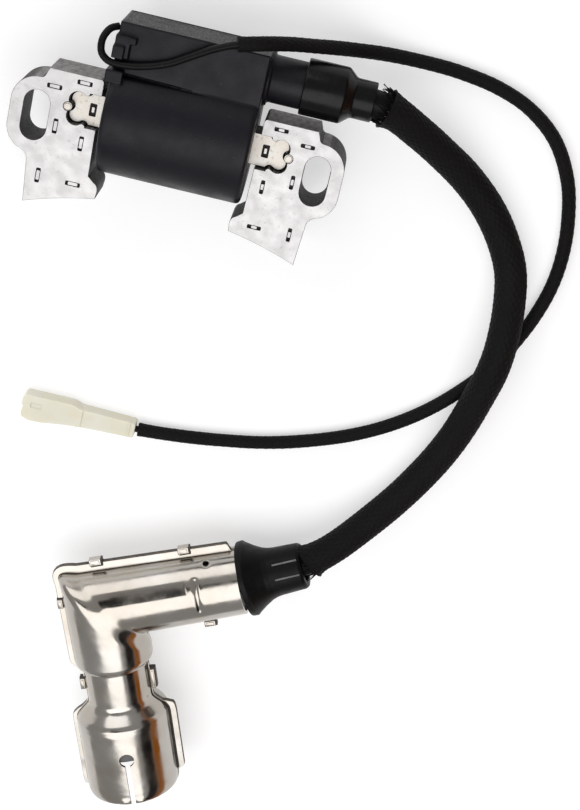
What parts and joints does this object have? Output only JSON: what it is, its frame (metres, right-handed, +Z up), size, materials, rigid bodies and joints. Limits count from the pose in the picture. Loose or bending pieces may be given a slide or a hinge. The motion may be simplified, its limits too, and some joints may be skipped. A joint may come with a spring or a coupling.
{
  "type": "ignition coil",
  "caption": "Small-engine ignition coil: laminated core with slotted mounting legs, potted case, sleeved plug lead with screened right-angle cap, and a stop lead with connector.",
  "frame": {"origin": "on the surface the coil lies on, under the middle of the coil body (legs' heels to the case's box)", "axes": "+X along the core bar towards the high-tension tower, +Y away from the flywheel, +Z up through the lamination stack"},
  "size_m": [0.1465, 0.2264, 0.0304],
  "materials": {
    "core_steel": "satin, sawn laminations on the edges",
    "bar_steel": "satin, slightly straw-coloured",
    "case_black": "moulded, satin",
    "bobbin_nylon": "moulded",
    "copper_wire": "enamelled copper wire",
    "board": "resist over glass fibre",
    "module_black": "moulded",
    "ceramic": "fired ceramic",
    "potting_epoxy": "filled resin, granular",
    "brass": "drawn",
    "rubber_black": "semi-gloss",
    "braid_black": "woven glass sleeving, varnished",
    "wire_black": "extruded insulation",
    "nylon_natural": "undyed, translucent",
    "plated_steel": "bright plated sheet",
    "spring_steel": "drawn"
  },
  "bodies": {
    "root": {"core_leg_right": "core_steel", "core_leg_left": "core_steel", "core_bar": "bar_steel", "core_pin_left": "bar_steel", "core_pin_right": "bar_steel", "coil_case": "case_black", "primary_bobbin": "bobbin_nylon", "primary_winding": "copper_wire", "secondary_bobbin": "bobbin_nylon", "secondary_winding": "copper_wire", "igniter_board": "board", "igniter_transistor": "module_black", "igniter_resistor": "ceramic", "potting": "potting_epoxy", "ht_terminal": "brass", "ht_boot": "rubber_black", "ht_lead": "rubber_black", "ht_lead_sleeve": "braid_black", "stop_wire": "wire_black", "stop_wire_sleeve": "braid_black", "connector_housing": "nylon_natural", "connector_terminal": "brass", "cap_seal": "rubber_black", "cap_shell_front": "plated_steel", "cap_shell_back": "plated_steel", "cap_body": "module_black", "cap_plug_clip": "spring_steel", "cap_spring": "spring_steel", "cap_resistor": "ceramic", "cap_contact": "brass"}
  },
  "joints": []
}
